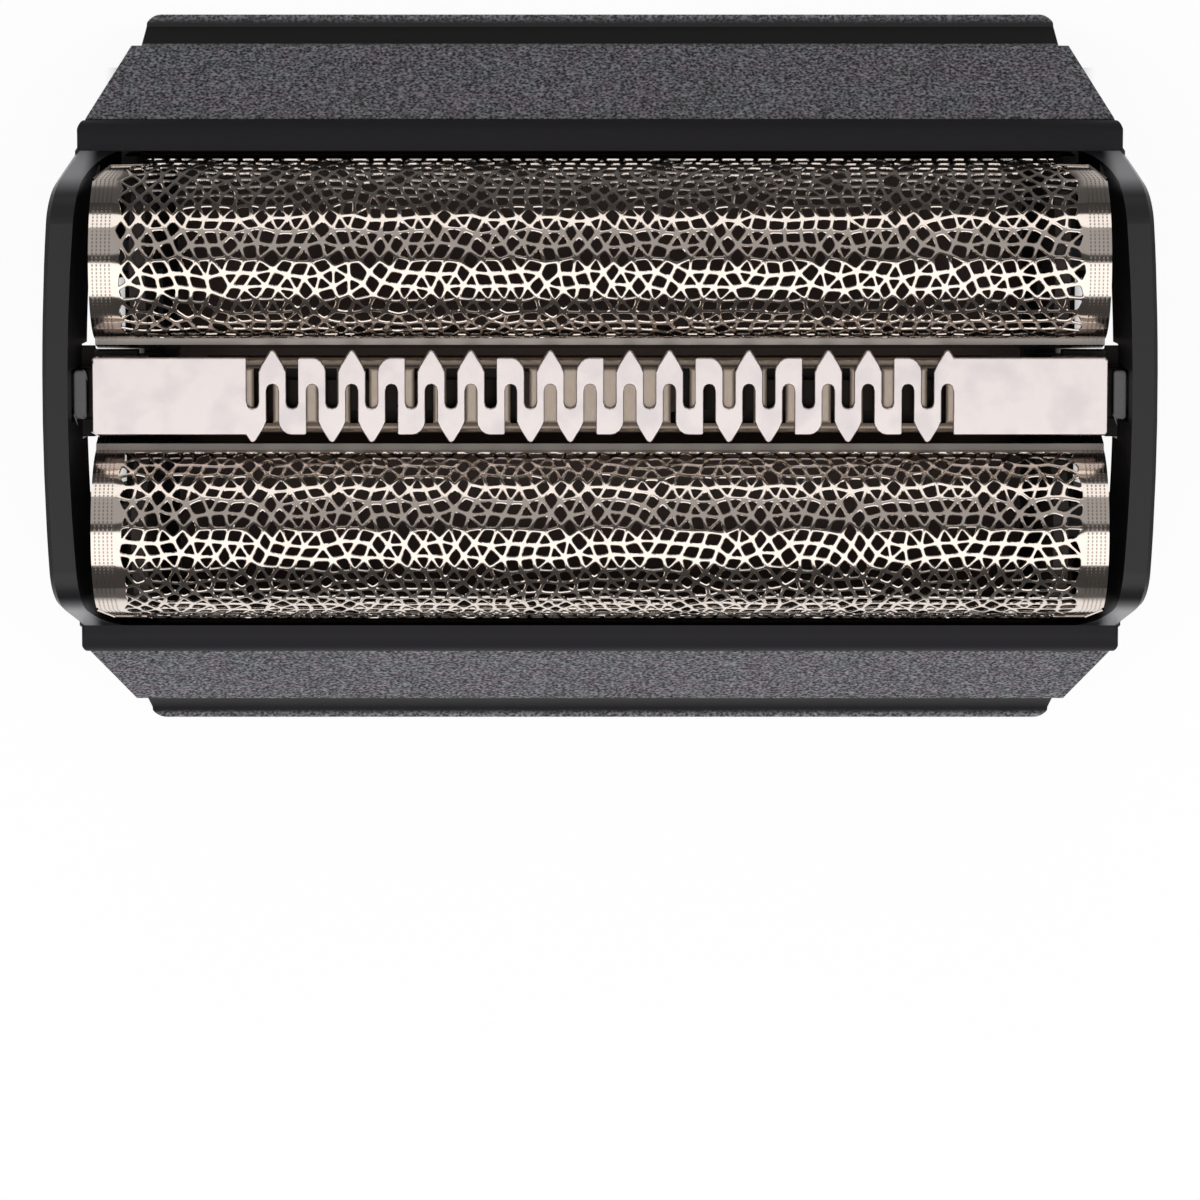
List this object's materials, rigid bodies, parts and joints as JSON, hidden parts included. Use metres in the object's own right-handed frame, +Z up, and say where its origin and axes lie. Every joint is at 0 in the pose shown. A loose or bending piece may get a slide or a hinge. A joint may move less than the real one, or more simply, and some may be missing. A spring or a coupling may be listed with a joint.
{
  "type": "shaver foil head",
  "caption": "Clip-on black shaver foil head with two arched perforated foils, a serpentine trimmer comb between them and raised end ears.",
  "frame": {"origin": "middle of the bottom rim of the skirt", "axes": "+X along the foils, +Y across them to the rear panel, +Z up to the foils"},
  "size_m": [0.0582, 0.0388, 0.0168],
  "materials": {
    "black_plastic": "satin",
    "textured_plastic": "spark texture",
    "grey_plastic": "satin",
    "foil_metal": "polished nickel",
    "comb_steel": "satin",
    "blade_steel": "ground"
  },
  "bodies": {
    "frame": {"chassis": "black_plastic", "rear_panel": "textured_plastic", "front_panel": "textured_plastic", "right_trimmer_spring": "blade_steel", "left_trimmer_spring": "blade_steel"},
    "rear_foil_unit": {"rear_foil": "foil_metal", "rear_foil_carrier": "black_plastic", "rear_outer_strip": "black_plastic", "rear_inner_strip": "black_plastic"},
    "front_foil_unit": {"front_foil": "foil_metal", "front_foil_carrier": "black_plastic", "front_outer_strip": "black_plastic", "front_inner_strip": "black_plastic"},
    "trimmer": {"trimmer_carrier": "grey_plastic", "trimmer_comb": "comb_steel", "right_blade_spring": "blade_steel", "left_blade_spring": "blade_steel"},
    "blade": {"trimmer_blade": "blade_steel", "drive_shoe": "grey_plastic", "shoe_rivets": "blade_steel"}
  },
  "joints": [
    {"name": "rear_foil_float", "type": "slide", "parent": "frame", "child": "rear_foil_unit", "axis": [0, 0, 1], "range_m": [0, 0.0008]},
    {"name": "front_foil_float", "type": "slide", "parent": "frame", "child": "front_foil_unit", "axis": [0, 0, 1], "range_m": [0, 0.0008]},
    {"name": "trimmer_float", "type": "slide", "parent": "frame", "child": "trimmer", "axis": [0, 0, 1], "range_m": [-0.0012, 0], "stiffness_N_per_m": 150, "springref_m": 0.002, "deforming": ["right_trimmer_spring", "left_trimmer_spring"]},
    {"name": "blade_stroke", "type": "slide", "parent": "trimmer", "child": "blade", "axis": [1, 0, 0], "range_m": [-0.0012, 0.0012]}
  ]
}
